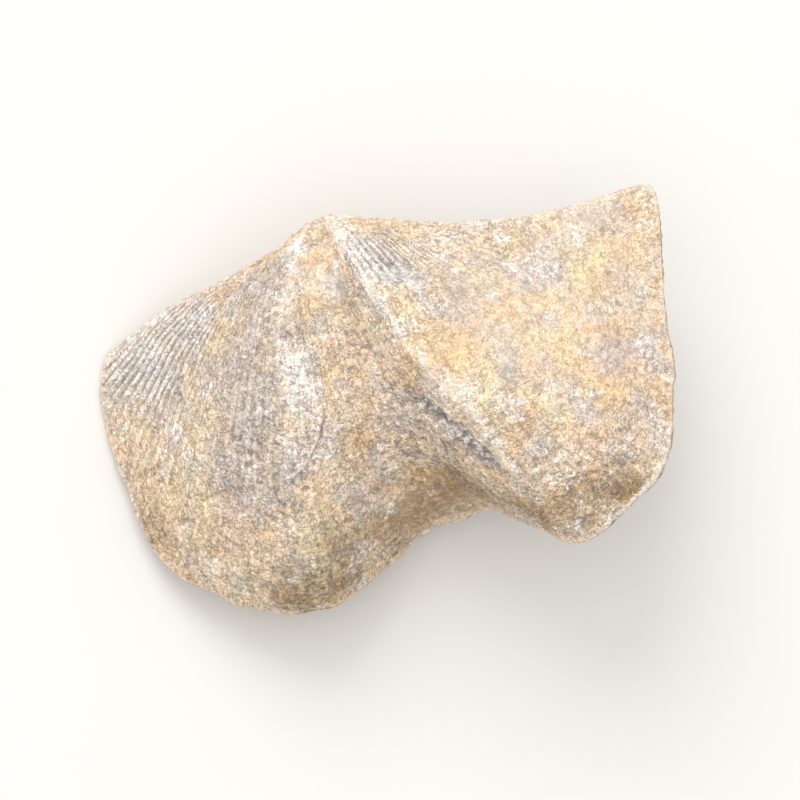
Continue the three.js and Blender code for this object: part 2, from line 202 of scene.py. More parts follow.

# Stains and wear as (centre in mm in the shell's frame, reach in mm, how strong). Some whitish spots are
# painted light and some brown spots painted shadow, as noted below.
SPOT_FADE = (0.1, 1.6)  # shares of its reach between which a spot fades out
STAINS = {
    "peach": [
        ((14.3, -10.5, 6.7), 7.0, 0.9), ((9.0, -8.0, 10.5), 4.0, 0.8), ((11.0, -16.0, 6.0), 4.0, 0.8),
        ((18.5, -4.0, 2.6), 4.0, 0.6), ((1.0, -15.0, -1.0), 5.0, 0.6), ((-12.0, -16.0, 5.0), 4.5, 0.5),
        ((13.0, -17.0, 5.0), 3.0, 0.8),
    ],
    "ochre": [
        ((4.8, -2.9, 12.7), 1.3, 0.8), ((6.3, -5.7, 12.2), 1.6, 0.9), ((7.6, -7.8, 11.5), 1.6, 0.9),
        ((9.6, -13.8, 8.7), 1.4, 0.9), ((8.7, -15.2, 8.3), 1.0, 0.8), ((3.8, -8.1, 10.9), 1.3, 0.8),
        ((0.3, 3.2, 10.8), 0.9, 0.8), ((-1.8, -0.6, 11.8), 1.2, 0.8), ((4.0, 4.6, 6.8), 2.6, 0.7),
        ((-9.7, -0.1, 9.5), 1.4, 0.7), ((-5.4, -12.9, 8.3), 1.3, 0.9), ((-2.6, -12.0, 7.2), 1.2, 0.7),
        ((1.6, -12.0, 5.4), 1.1, 0.8), ((-1.2, -10.7, 6.8), 1.1, 0.6), ((-2.5, -6.5, 10.5), 1.0, 0.5),
        ((-6.5, -13.0, 8.6), 1.4, 0.7), ((20.4, -2.5, 0.9), 2.8, 0.6), ((-20.4, -5.2, 2.9), 2.6, 0.6),
        ((-19.6, -11.0, 2.9), 2.6, 0.6), ((12.4, -7.4, 8.6), 1.6, 0.3), ((16.6, -15.0, 3.6), 1.8, 0.4),
        ((13.1, -16.6, 5.4), 2.2, 0.35), ((-5.2, -8.0, 10.9), 1.3, 0.35), ((10.2, -19.0, 4.4), 2.4, 0.45),
        ((0.6, -13.8, 2.0), 1.8, 0.5),
    ],
    "straw": [
        ((-19.0, -4.8, 4.0), 2.0, 0.6), ((-14.9, -8.4, 7.4), 1.8, 0.6), ((5.2, -4.2, 12.7), 0.9, 0.8),
        ((9.9, -2.0, 8.7), 1.9, 0.6), ((12.6, -13.1, 7.6), 1.2, 0.9), ((17.7, -1.6, 2.7), 1.7, 0.7),
        ((-18.1, -9.2, 4.8), 2.2, 0.6), ((-20.9, -7.8, 2.5), 2.6, 0.2), ((0.8, 1.6, 10.9), 1.0, 0.6),
        ((-8.0, -16.0, 6.4), 2.2, 0.5), ((-8.0, -18.4, 3.6), 1.7, 0.8), ((-11.2, -18.2, 4.2), 1.6, 0.6),
    ],
    "smoke": [
        ((-9.2, -7.2, 10.8), 3.6, 0.85), ((-8.8, -3.0, 11.0), 3.4, 0.9), ((-8.8, -11.9, 9.2), 2.7, 0.8),
        ((-5.0, 1.6, 11.0), 2.4, 0.6), ((8.6, -3.4, 10.9), 2.4, 0.45), ((6.2, -0.4, 11.6), 1.8, 0.5),
        # The first two spots on the next line lie on the scarp: partly grey stain, partly painted shade on
        # its steep face.
        ((5.9, -12.9, 8.2), 1.3, 0.6), ((7.0, -15.0, 6.6), 1.2, 0.6), ((2.8, -10.4, 6.0), 1.8, 0.3),
        ((4.4, 1.4, 11.4), 1.6, 0.6), ((-16.0, 1.4, 5.0), 3.0, 0.6), ((-18.6, 0.6, 3.4), 2.4, 0.6),
        ((0.6, -8.6, 7.4), 1.8, 0.3), ((14.6, -2.2, 5.2), 2.2, 0.6), ((-12.0, -10.4, 8.7), 2.4, 0.9),
        ((10.9, -10.0, 9.7), 1.1, 0.6), ((10.9, -16.3, 6.8), 1.2, 0.45), ((-10.5, 1.0, 8.8), 3.4, 0.5),
        ((-4.0, -2.0, 12.4), 1.5, 0.7), ((-6.2, 2.4, 10.0), 1.9, 0.65), ((-4.2, 3.1, 10.6), 1.6, 0.6),
        ((-2.9, 2.4, 11.3), 1.3, 0.65), ((-3.1, 0.6, 12.1), 1.2, 0.6), ((-3.4, 3.0, 10.8), 1.6, 0.7),
        ((-14.5, -2.4, 7.1), 1.3, 0.85), ((0.0, -3.6, 10.8), 1.4, 0.6), ((17.2, -9.8, 3.9), 1.7, 0.75),
        ((11.6, -0.6, 7.6), 2.6, 0.3),
    ],
    "slate": [
        ((-12.3, 1.3, 7.2), 2.4, 0.85), ((-12.6, -8.3, 8.9), 1.4, 0.7), ((0.3, -0.2, 11.2), 0.9, 0.7),
        ((7.4, -4.1, 11.8), 0.9, 0.8), ((6.3, -1.1, 11.7), 1.6, 0.8), ((10.6, -14.9, 7.8), 1.1, 0.6),
        ((14.0, -12.1, 7.0), 1.1, 0.6), ((14.4, -13.8, 6.1), 1.1, 0.6), ((18.3, -6.4, 2.5), 1.9, 0.6),
        ((17.4, 0.2, 2.4), 1.8, 0.45), ((19.5, -3.6, 1.5), 1.1, 0.55), ((5.1, 0.2, 11.8), 1.5, 0.8),
        ((-17.0, 1.0, 4.4), 3.0, 0.6), ((-4.6, 0.6, 11.4), 1.6, 0.5), ((-2.5, 3.5, 10.9), 0.9, 0.5),
        ((16.0, -16.3, 3.7), 1.4, 0.4), ((1.4, -10.2, 7.4), 1.4, 0.5), ((3.0, 2.4, 11.4), 1.2, 0.5),
    ],
    "chalk_and_highlight": [
        # Painted light: the spots at (-3.7, -4.6) and (-3.9, -6.2) paint the highlight on the left crest,
        # those at (-1.7, 4.0) and (-2.4, 2.4) a highlight by the beak, and those at (-5.2, -11.5) and (2.2,
        # -10.2) lighten slopes that face away from the light.
        ((-3.7, -4.6, 11.9), 1.3, 0.95), ((-3.9, -6.2, 11.5), 1.4, 0.95), ((-4.6, -9.0, 10.4), 2.0, 0.35),
        ((14.4, -2.2, 5.0), 1.3, 0.45), ((-1.7, 4.0, 10.5), 0.8, 0.9), ((-2.4, 2.4, 11.4), 0.6, 0.7),
        ((4.6, -4.6, 12.4), 1.0, 0.5), ((7.4, -10.4, 10.9), 1.2, 0.5), ((1.7, 3.6, 11.0), 1.0, 0.8),
        ((-3.6, 0.4, 11.6), 1.0, 0.4), ((-17.0, 0.8, 4.4), 4.4, 0.5), ((-12.0, 1.0, 8.0), 2.4, 0.4),
        ((-15.6, -5.4, 6.8), 0.8, 0.8), ((12.4, -11.6, 7.6), 1.2, 0.4), ((-10.0, -10.6, 9.6), 1.2, 0.4),
        ((3.3, 0.4, 12.3), 0.9, 0.7), ((2.9, 1.7, 12.0), 1.1, 0.5), ((-5.2, -11.5, 8.6), 2.6, 0.3),
        ((2.2, -10.2, 7.2), 2.6, 0.25), ((11.2, -16.8, 6.4), 2.4, 0.3),
    ],
    "soil_and_shade": [
        # The spots along the front margin are partly brown earth, partly painted shadow along that edge.
        ((-11.0, -19.8, 2.2), 2.6, 1.0), ((-8.8, -19.8, 1.4), 2.4, 1.0), ((1.0, -14.7, -0.8), 3.2, 0.85),
        ((-2.6, -15.6, -1.6), 3.2, 0.85), ((3.4, -14.4, 1.6), 2.6, 0.8), ((5.0, -16.4, 0.6), 2.6, 0.8),
        ((8.4, -19.2, 3.0), 2.6, 0.95), ((12.3, -19.0, 3.8), 1.8, 0.6), ((-20.6, -8.0, 2.4), 3.4, 0.12),
        ((-6.0, -17.4, 3.6), 2.4, 0.6), ((14.8, -19.6, 2.0), 1.6, 0.95), ((-20.5, -11.5, 1.8), 2.0, 0.4),
    ],
}
# Rugged places with small pits.
RUGGED_SPOTS = [
    ((2.9, -12.6, 5.9), 2.4, 0.8), ((0.6, -11.5, 5.6), 2.4, 0.5), ((-10.0, -9.0, 9.5), 3.2, 0.6),
    ((-14.5, -2.4, 7.1), 1.5, 0.7), ((12.3, -17.9, 4.9), 2.0, 0.45), ((15.4, -17.8, 3.2), 1.8, 0.4),
    ((-4.0, -2.0, 12.4), 1.7, 0.7), ((5.1, 0.4, 11.6), 1.7, 0.6), ((0.4, -4.4, 10.4), 1.6, 0.6),
    ((14.6, -2.4, 5.0), 1.4, 0.8), ((2.6, -8.6, 9.0), 2.0, 0.6), ((-9.4, -19.3, 2.4), 2.6, 1.0),
    ((-8.6, -13.0, 8.8), 2.6, 0.5),
]
# Places that are worn smoother than the rest.
SMOOTH_SPOTS = [
    ((12.0, -6.0, 8.5), 7.0, 1.0), ((17.0, -8.0, 4.0), 6.0, 0.9), ((18.8, -2.4, 2.2), 5.0, 0.95),
    ((-0.4, 1.4, 11.2), 1.9, 1.0), ((0.4, 3.2, 10.8), 1.2, 0.9), ((-0.3, -1.2, 11.3), 1.2, 0.8),
    ((0.7, -15.9, -2.2), 4.2, 0.75), ((-3.4, -15.6, 1.4), 3.0, 0.55), ((5.0, -17.2, 0.2), 3.0, 0.6),
    ((-17.0, 2.4, 3.6), 2.2, 0.7), ((-9.7, -0.1, 9.5), 1.5, 0.7), ((0.8, -5.0, 10.5), 2.0, 0.5),
    ((-6.4, -13.4, 8.3), 1.8, 0.5),
]
# Where the ribs are still sharp. Elsewhere wear and a grainy crust have blunted them.
SHARP_RIBS = [
    ((-18.4, 1.4, 3.4), 4.2, 1.0), ((-14.0, 1.0, 6.6), 4.0, 0.9), ((-10.3, 1.0, 8.5), 3.0, 0.8),
    ((2.9, 1.4, 12.0), 1.5, 1.0), ((5.0, 1.4, 11.0), 1.9, 1.0), ((6.4, 1.6, 9.8), 1.8, 0.8),
    ((-5.6, 2.6, 10.4), 2.0, 0.7), ((-19.0, -3.0, 4.0), 3.0, 0.2), ((4.6, -14.4, 3.5), 3.0, 0.7),
    ((6.6, -17.0, 2.6), 2.6, 0.7), ((2.0, -16.0, -2.0), 3.0, 0.5),
]

# Stone colours. Clouds are (colour, bumps in a mm, how strong), from the first laid on to the last.
CLOUDS = (
    ("straw", 0.26, 0.70), ("rose", 0.30, 0.70), ("smoke", 0.34, 0.36), ("ochre", 0.38, 0.55),
    ("slate", 0.42, 0.48), ("rose", 0.52, 0.35), ("ochre", 0.58, 0.30),
)
# Stains are (colour and mask, chance that picks the grains, strength of the veil, strength in a grain).
# The dark scarp colour here also paints shade, and the whitish colour also paints highlights.
SHELL_STAINS = (
    ("straw", "second", 0.74, 0.15), ("smoke", "not_first", 0.72, 0.20), ("slate", "fine", 0.70, 0.20),
    ("ochre", "not_second", 0.82, 0.20), ("soil_and_shade", "second", 0.87, 0.60), ("bank", "fine", 0.50, 0.88),
    ("chalk_and_highlight", "fine", 0.58, 0.74),
)
# Specks in the mud are (colour, share of the grains, chance that picks them).
MUD_SPECKS = (
    ("straw", 0.12, "Chance"), ("ochre_deep", 0.14, "Second chance"), ("dark_specks_and_shade", 0.22, "Fine chance"),
    ("chalk_and_highlight", 0.07, "Fine chance"),
)
FINE_SHARE = 2.2  # fine grains along one coarse grain
GRAIN_STRENGTH = 0.8
STREAKS_ACROSS, STREAKS_ALONG = 190.0, 15.0  # streaks round the margin, and from beak to margin


def smooth(low, high, value):
    """0 below low, 1 above high and an even curve between them."""
    share = np.clip((value - low) / (high - low), 0.0, 1.0)
    return share * share * (3.0 - 2.0 * share)


def between(value, start, full, fade, end):
    """1 from full to fade, falling to 0 at start and end."""
    return smooth(start, full, value) * (1.0 - smooth(fade, end, value))


def bump(x):
    """1 at 0, falling off evenly on both sides."""
    return np.exp(-x * x)


def follow(course, value):
    """Where a line given by its points lies at each value."""
    return np.interp(value, *zip(*course))


def margin_curve(points):
    """Many points along the smooth curve through the margin, and the length of the curve up to each."""
    whole = np.vstack([2 * points[0] - points[1], points, 2 * points[-1] - points[-2]])
    step = np.linspace(0.0, 1.0, CURVE_STEPS, endpoint=False)[:, None]
    stretches = []
    for before, start, end, after in zip(whole, whole[1:], whole[2:], whole[3:]):
        leave, arrive = 0.5 * (end - before), 0.5 * (after - start)
        stretches.append((2 * start - 2 * end + leave + arrive) * step**3
                         + (-3 * start + 3 * end - 2 * leave - arrive) * step**2 + leave * step + start)
    curve = np.vstack([*stretches, points[-1:]])
    return curve, np.r_[0.0, np.cumsum(np.linalg.norm(np.diff(curve, axis=0), axis=1))]


CURVE, LENGTHS = margin_curve(MARGIN)
LEFT = LENGTHS[CURVE_STEPS * LEFT_RIDGE_POINT] / LENGTHS[-1]
RIGHT = LENGTHS[CURVE_STEPS * RIGHT_RIDGE_POINT] / LENGTHS[-1]


def outline(w):
    """Points of the full-grown outline at places w: the free margin up to 1, then the hinge up to 2."""
    along = np.clip(w, 0.0, 1.0) * LENGTHS[-1]
    free = np.stack([np.interp(along, LENGTHS, CURVE[:, axis]) for axis in range(3)], -1)
    back = MARGIN[-1] + (MARGIN[0] - MARGIN[-1]) * np.clip(w - 1.0, 0.0, 1.0)[..., None]
    return np.where((w <= 1.0)[..., None], free, back)


def stage_outline(valve, w, g):
    """The outline at growth stages g before it is shrunk: the younger the shell, the shallower its sulcus."""
    points = outline(w)
    across = np.clip((w - LEFT) / (RIGHT - LEFT), 0.0, 1.0)[..., None]
    level = MARGIN[LEFT_RIDGE_POINT] + (MARGIN[RIGHT_RIDGE_POINT] - MARGIN[LEFT_RIDGE_POINT]) * across
    share = valve["young_sulcus"] * (1.0 - g) * smooth(0.0, SULCUS_EDGE, np.minimum(w - LEFT, RIGHT - w))
    return points + share[..., None] * (level - points)


def grown(valve, w, g):
    """The outline of a valve at growth stages g, shrunk to the beak and turned about it."""
    arm = stage_outline(valve, w, g) + (0.0, 0.0, valve["side"] * BAND / 2) - valve["beak"]
    turn = valve["side"] * valve["coil"] * (1.0 - g**COIL_POWER)
    c, s = np.cos(turn), np.sin(turn)
    turned = np.stack([arm[..., 0], arm[..., 1] * c + arm[..., 2] * s, arm[..., 2] * c - arm[..., 1] * s], -1)
    points = valve["beak"] + g[..., None] * turned
    near = np.exp(-((points - BULGE_AT) ** 2).sum(-1) / BULGE_REACH**2)
    return points + near[..., None] * BULGE_SHIFT


def seam_row(ventral, dorsal, depth):
    """Halfway between the two margins, set in towards the middle of the shell."""
    middle = (ventral + dorsal) / 2
    along = np.roll(middle, -1, 0) - np.roll(middle, 1, 0)
    inward = np.stack([-along[:, 1], along[:, 0], 0 * along[:, 0]], -1)
    return middle + depth * inward / np.linalg.norm(inward, axis=1, keepdims=True)


def sheet_faces(index):
    """The squares of a grid of point numbers."""
    return np.stack([index[:-1, :-1], index[:-1, 1:], index[1:, 1:], index[1:, :-1]], -1).reshape(-1, 4)


class PlainShell:
    """The closed surface of both valves without ribs, as a grid that knows outline place and running stage.

    The running stage goes from 0 at the ventral beak to 1 at its margin, then on to the dorsal beak."""

    FREE_COLUMNS, HINGE_COLUMNS, ROWS = 460, 150, 110

    def __init__(self, seam_depth):
        free = np.linspace(0.0, 1.0, self.FREE_COLUMNS, endpoint=False)
        hinge = np.linspace(1.0, 2.0, self.HINGE_COLUMNS, endpoint=False)
        self.w = np.r_[free, hinge]
        g = YOUNGEST + (1.0 - YOUNGEST) * np.linspace(0.0, 1.0, self.ROWS) ** STAGE_POWER
        w_grid, g_grid = np.meshgrid(self.w, g)
        ventral, dorsal = grown(VENTRAL, w_grid, g_grid), grown(DORSAL, w_grid, g_grid)
        caps = [np.broadcast_to(rows[0].mean(0), rows[0].shape)[None] for rows in (ventral, dorsal)]
        seam = seam_row(ventral[-1], dorsal[-1], seam_depth)[None]
        self.points = np.concatenate([caps[0], ventral, seam, dorsal[::-1], caps[1]])
        self.stage = np.r_[0.0, g, SEAM_STAGE, LAST_STAGE - g[::-1], LAST_STAGE]

    def faces(self):
        """The squares of the grid, which closes round the outline."""
        rows, columns = self.points.shape[:2]
        index = np.arange(rows * columns).reshape(rows, columns)
        return sheet_faces(np.hstack([index, index[:, :1]]))

    def places(self, points):
        """Outline place w and running stage of the spot on the shell nearest to each point."""
        flat, faces = self.points.reshape(-1, 3), self.faces()
        tree = BVHTree.FromPolygons(flat.tolist(), faces.tolist())
        found = [tree.find_nearest(p) for p in points.tolist()]
        spot = np.array([f[0] for f in found])
        index = np.array([f[2] for f in found])
        corner = flat[faces[index, 0]]
        across, along, arm = flat[faces[index, 1]] - corner, flat[faces[index, 3]] - corner, spot - corner
        aa, bb, ab = (across**2).sum(1), (along**2).sum(1), (across * along).sum(1)
        pa, pb = (arm * across).sum(1), (arm * along).sum(1)
        size = np.maximum(aa * bb - ab * ab, 1e-12)
        u = np.clip((pa * bb - pb * ab) / size, 0.0, 1.0)
        v = np.clip((pb * aa - pa * ab) / size, 0.0, 1.0)
        row, column = np.divmod(index, len(self.w))
        ring = np.r_[self.w, 2.0]
        w = ring[column] + u * (ring[column + 1] - ring[column])
        return w, self.stage[row] + v * (self.stage[row + 1] - self.stage[row])


def random_waves(points, size, seed, octaves):
    """Smooth random values around 0 at each point. One bump is about size mm wide."""
    moved = (points / size + seed).tolist()
    if octaves == 1:
        return np.array([noise.noise(p) for p in moved])
    return np.array([noise.fractal(p, 1.0, 2.0, octaves) for p in moved])


def waves(points, name):
    *shape, height = WAVES[name]
    return height * random_waves(points, *shape)


def patches(points, name):
    low, high, *shape, height = PATCHES[name]
    return height * smooth(low, high, random_waves(points, *shape))


def grains(points, size, seed):
    """Packed grains about size mm wide: dome height 0 to 1 at each point, and one random value a grain."""
    found = [noise.voronoi(p) for p in (points / size + seed).tolist()]
    near = np.array([distances[:2] for distances, _ in found])
    centre = np.array([centres[0] for _, centres in found])
    chance = np.sin(centre @ (12.9898, 78.233, 37.719)) * 43758.5453
    return smooth(0.0, GRAIN_DOME, near[:, 1] - near[:, 0]), chance - np.floor(chance)


def rib_wave(w, g, sway, flank_ribs, sulcus_ribs):
    """Rounded ribs with narrow grooves, from -1 to 1. Sway lets them wander a little."""
    place = np.where(w < LEFT, 1.0 - w / LEFT, np.clip((w - RIGHT) / (1.0 - RIGHT), 0.0, 1.0))
    share = 1.0 - np.log1p((RIB_SPREAD - 1.0) * (1.0 - place)) / math.log(RIB_SPREAD)
    flank = flank_ribs * share * g**RIB_ENTRY
    sulcus = sulcus_ribs * (w - LEFT) / (RIGHT - LEFT)
    number = np.where((w >= LEFT) & (w <= RIGHT), sulcus, flank) + sway
    return 2.0 * (0.5 + 0.5 * np.cos(2.0 * math.pi * number)) ** RIB_ROUNDNESS - 1.0


def right_of(line, w, g):
    """How far each point lies to the right of a line, in mm."""
    return (w - follow(line["course"], g)) * LENGTHS[-1] * g - line["shift"]


def along_lines(lines, w, g):
    """Height of the lines at each point, added up."""
    return sum(line["height"] * bump(right_of(line, w, g) / line["reach"]) * between(g, *line["stages"])
               for line in lines)


def right_of_scarp(w, g):
    """How far each point lies to the right of the top edge of the scarp, in mm."""
    return right_of(RIGHT_CREST, w, g) - follow(SCARP_EDGE, g)


def before_flake(w, g):
    """How far each point lies in front of the edge of the layer that has flaked off, in mm."""
    return (g - follow(FLAKE_EDGE, w)) * LENGTHS[-1] / 2


def lip(w, g):
    """The thin edge of the ventral margin at the lower right, 0 to 1."""
    return between(w, *LIP_PLACES) * smooth(*LIP_STAGES, g)


def ridge_relief(w, g):
    """The crests, the channel by the beak, the scarp, the flake's edge and the lip with its groove, in mm."""
    scarp = between(right_of_scarp(w, g), *SCARP_FALL) * between(g, *SCARP_STAGES)
    flake = between(before_flake(w, g), *FLAKE_FALL) * between(w, *FLAKE_PLACES)
    behind_lip = bump((g - LIP_GROOVE) / LIP_GROOVE_REACH) * between(w, *LIP_PLACES)
    rim = LIP_HEIGHT * lip(w, g) - LIP_GROOVE_DEPTH * behind_lip
    return along_lines(RELIEF_LINES, w, g) - SCARP_DEPTH * scarp - FLAKE_DEPTH * flake + rim


def mud_gap(w, g, depth):
    """Depth of the open triangle under the ventral beak. It grew with the shell, so it narrows there."""
    return depth * g * np.clip((GAP_HALF - np.abs(w - HINGE_MIDDLE)) / GAP_SLOPE, 0.0, 1.0)


class ShellPoints:
    """Points of the shell with their place w along the outline, running stage and growth stage g."""

    def __init__(self, points, w, stage):
        self.points, self.w, self.stage = points, w, stage
        self.ventral = stage <= 1.0
        self.top = np.where(self.ventral, 1.0, 0.0)
        self.free = w <= 1.0
        self.g = np.clip(np.where(self.ventral, stage, LAST_STAGE - stage), YOUNGEST, 1.0)
        self.in_sulcus = smooth(0.0, RIDGE_FADE, np.minimum(w - LEFT, RIGHT - w))
        self.ragged = self.waves("ragged") + self.waves("finely_ragged")

    def waves(self, name):
        return waves(self.points, name)

    def patches(self, name):
        return patches(self.points, name)

    def past(self, name):
        """How far something has come up at each point's growth stage, 0 to 1."""
        return smooth(*STAGES[name], self.g)

    def spots(self, places):
        """How strong ragged round spots on the ventral valve are at each point, 0 to 1."""
        bare = np.ones(len(self.points))
        for centre, reach, most in places:
            far = np.linalg.norm(self.points - np.array(centre), axis=1) / reach + self.ragged
            bare *= 1.0 - most * (1.0 - smooth(*SPOT_FADE, far))
        return self.top * (1.0 - bare)


def swells(at):
    """Gentle swells and lumps, in mm. The smallest stay off the thin margin."""
    return at.waves("swells") + at.waves("lumps") + (1.0 - at.past("thin_margin")) * at.waves("small_lumps")


def rib_relief(at, coarse, sizes):
    """Height of the ribs in mm, how sharp they still are, and how deep in a groove each point lies."""
    worn = at.patches("worn")
    kept = np.maximum(at.spots(SHARP_RIBS), BLUNT_RIB_SHARE * worn * coarse)
    sharp = np.where(at.ventral, kept, 0.45 + 0.55 * worn)
    height = np.where(at.ventral, sizes.ventral_rib_height, sizes.dorsal_rib_height) / MM
    left_ear = np.where(at.ventral, smooth(*WORN_EAR_FADE, at.w), smooth(*EAR_FADE, at.w))
    from_ears = left_ear * smooth(*EAR_FADE, 1.0 - at.w)
    full = at.past("ribs") * (1.0 - RIB_MARGIN_LOSS * at.past("worn_ribs"))
    strength = sharp * from_ears * (1.0 - SULCUS_RIB_LOSS * at.in_sulcus) * full * at.free
    wave = rib_wave(at.w, at.g, at.waves("rib_sway"), sizes.flank_ribs, sizes.sulcus_ribs)
    groove = np.clip(1.3 * strength, 0.0, 1.0) * smooth(0.3, -0.8, wave)
    return 0.5 * height * strength * wave, sharp, groove


def growth_lines(at, sizes):
    """Steps of the growth lines, strongest in front of the sulcus, and fine lines by the hinge, in mm."""
    ring = GROWTH_LINES * at.g + at.waves("growth_sway")
    strength = at.past("growth_lines") + FRONT_GROWTH * (at.in_sulcus * at.past("front_growth"))
    steps = (ring - np.floor(ring)) * strength * sizes.growth_step / MM * at.free
    turn = 2.0 * math.pi * HINGE_LINES * at.g + at.waves("hinge_sway")
    lines = HINGE_LINE_HEIGHT * np.cos(turn) * (~at.free) * at.ventral * at.past("hinge_lines")
    return steps + lines


def crust_relief(at, coarse, sharp, sizes):
    """The grainy crystal crust in mm: none on sharp ribs, less where the stone is worn smooth."""
    size = sizes.grain_size / MM
    dome, chance = grains(at.points, size, 37.0)
    fine, _ = grains(at.points, FINE_GRAIN * size, 41.0)
    crust = np.clip(1.0 - 0.75 * sharp, 0.2, 1.0) * at.patches("crust")
    off_margin = 0.25 + 0.75 * (1.0 - at.past("bare_margin"))
    height = sizes.grain_height / MM * (0.7 + 0.9 * coarse) * off_margin
    return height * (crust * (dome - 0.5) * (0.55 + 0.9 * chance) + 0.6 * (fine - 0.5))


def bank_patches(at):
    """The broken stone of the scarp: dark patches, partly old dirt and partly painted shade on its steep
    face, and the pale fragments between them.
    """
    edge = right_of_scarp(at.w, at.g) + 0.9 * at.ragged
    band = between(edge, *BANK_REACH) * between(at.g + 0.03 * at.ragged, *BANK_STAGES)
    dark = at.patches("bank")
    on_top = at.top * at.free
    return on_top * (band * dark), on_top * (band * (1.0 - dark))


def pale_wear_and_highlight(at):
    """Pale crests and edges: both crests and the scarp's foot, partly worn by touch and partly painted
    highlight, and the flake's edge and the lip, which are painted highlights.
    """
    from_foot = (right_of_scarp(at.w, at.g) - SCARP_FOOT) / SCARP_FOOT_REACH
    foot = bump(from_foot) * between(at.g, *SCARP_FOOT_STAGES)
    crests = along_lines(WORN_AND_LIT_CREST_LINES, at.w, at.g) + 0.8 * foot
    flake = bump((before_flake(at.w, at.g) + 0.22) / 0.28) * between(at.w, *FLAKE_PLACES)
    # Painted highlights along the flake's edge and the lip.
    edges = np.maximum(0.9 * flake, 0.6 * lip(at.w, at.g))
    return at.top * at.free * np.clip(np.maximum(crests * at.patches("rubbed"), edges), 0.0, 1.0)


def stain_masks(at):
    """How strong each stain is at each point, 0 to 1: the placed spots, and patches strewn between them."""
    masks = {name: at.spots(places) for name, places in STAINS.items()}
    below = np.where(at.ventral, 0.45, 1.0)
    seam = bump((at.stage - SEAM_STAGE) / np.where(at.stage < SEAM_STAGE, 0.006, 0.012))
    strewn = {
        "ochre": at.patches("ochre") * below,
        "smoke": at.patches("smoke") * below,
        # Whitish patches, joined by the pale crests and edges, which are partly painted highlight.
        "chalk_and_highlight": np.maximum(at.patches("chalk_and_highlight"), pale_wear_and_highlight(at)),
        # Brown patches, far stronger on the lower valve that faces the floor, and the dark seam between the
        # valves.
        "soil_and_shade": np.maximum(0.95 * seam, at.patches("soil_and_shade") * np.where(at.ventral, 0.15, 0.8)),
    }
    for name, patch in strewn.items():
        masks[name] = np.maximum(masks[name], patch)
    return masks


def shell_relief(at, sizes):
    """Height of everything that stands on the plain shell, in mm, and the masks for the stone's colours."""
    coarse = 1.0 - at.spots(SMOOTH_SPOTS)
    ribs, sharp, groove = rib_relief(at, coarse, sizes)
    bank, fragments = bank_patches(at)
    rugged = np.maximum(at.spots(RUGGED_SPOTS), bank + fragments)
    pits = at.patches("pits") * rugged
    holes = at.patches("holes") * at.patches("holed_areas")
    relief = swells(at) + ribs + growth_lines(at, sizes) + crust_relief(at, coarse, sharp, sizes)
    relief += at.top * at.free * ridge_relief(at.w, at.g) - HOLE_DEPTH * holes - PIT_DEPTH * pits
    relief -= at.ventral * ~at.free * mud_gap(at.w, at.g, GAP_DEPTH)
    masks = stain_masks(at)
    masks["chalk_and_highlight"] = np.maximum(masks["chalk_and_highlight"], 0.75 * fragments)
    # Dark on the scarp and in pits: partly dirt, partly painted shade.
    masks["bank"] = np.maximum(bank, 0.8 * pits)
    masks["groove"] = groove
    masks["coarse"] = coarse
    masks["streaky"] = coarse * at.free * at.past("streaks")
    masks["across_ribs"] = at.w
    masks["along_ribs"] = at.g
    return relief, masks


def chipped(at):
    """How far the thin margin has broken back towards the beak at each point, in mm."""
    bites = at.patches("small_chips") + at.patches("wide_chips")
    return at.past("chips") * at.free * bites * np.where(at.w > RIGHT, 0.5, 1.0)


class Surface:
    """Points of an evenly meshed surface with their normals and edges."""

    def __init__(self, mesh):
        self.mesh = mesh
        self.points = read(mesh.vertices, "co")
        self.normals = read(mesh.vertex_normals, "vector")
        pairs = np.empty(len(mesh.edges) * 2, np.int32)
        mesh.edges.foreach_get("vertices", pairs)
        self.one, self.other = pairs.reshape(-1, 2).T
        self.ends = np.r_[self.one, self.other]
        self.count = np.maximum(np.bincount(self.ends, minlength=len(self.points)), 1)

    def softened(self, values, times):
        """The values, each averaged with its neighbours a number of times."""
        for _ in range(times):
            total = [np.bincount(self.ends, np.r_[column[self.other], column[self.one]], len(self.count))
                     for column in values.T]
            values = 0.5 * values + 0.5 * np.stack(total, -1) / self.count[:, None]
        return values

    def hollow(self, times, depth):
        """-1 on crests to 1 in hollows as deep as depth mm; more times sees wider ones."""
        lift = self.softened(self.points, times) - self.points
        return np.clip((lift * self.normals).sum(1) / depth, -1.0, 1.0)

    def move(self, points):
        self.points = points
        self.mesh.vertices.foreach_set("co", points.astype(np.float32).ravel())
        self.mesh.update()
        self.normals = read(self.mesh.vertex_normals, "vector")

    def keep(self, name, values):
        """Stores one value a point for the materials."""
        stored = self.mesh.attributes.new(name, "FLOAT", "POINT")
        stored.data.foreach_set("value", values.astype(np.float32))


def read(items, key):
    """One vector of three numbers for each item."""
    values = np.empty(len(items) * 3, np.float32)
    items.foreach_get(key, values)
    return values.reshape(-1, 3).astype(float)


def settled(piece):
    """Gives the piece the mesh that its modifiers make, and takes them off."""
    before = piece.data
    ready = piece.evaluated_get(bpy.context.evaluated_depsgraph_get())
    piece.data = bpy.data.meshes.new_from_object(ready)
    piece.data.name = piece.name
    piece.modifiers.clear()
    bpy.data.meshes.remove(before)


def even_object(name, points, faces, voxel):
    """A new object whose closed surface is meshed evenly, with squares about voxel mm wide."""
    mesh = bpy.data.meshes.new(name)
    mesh.from_pydata(points.tolist(), [], faces.tolist())
    piece = bpy.data.objects.new(name, mesh)
    bpy.context.scene.collection.objects.link(piece)
    even = piece.modifiers.new("even_squares", "REMESH")
    even.mode = "VOXEL"
    even.voxel_size = voxel
    even.use_smooth_shade = True
    settled(piece)
    return piece


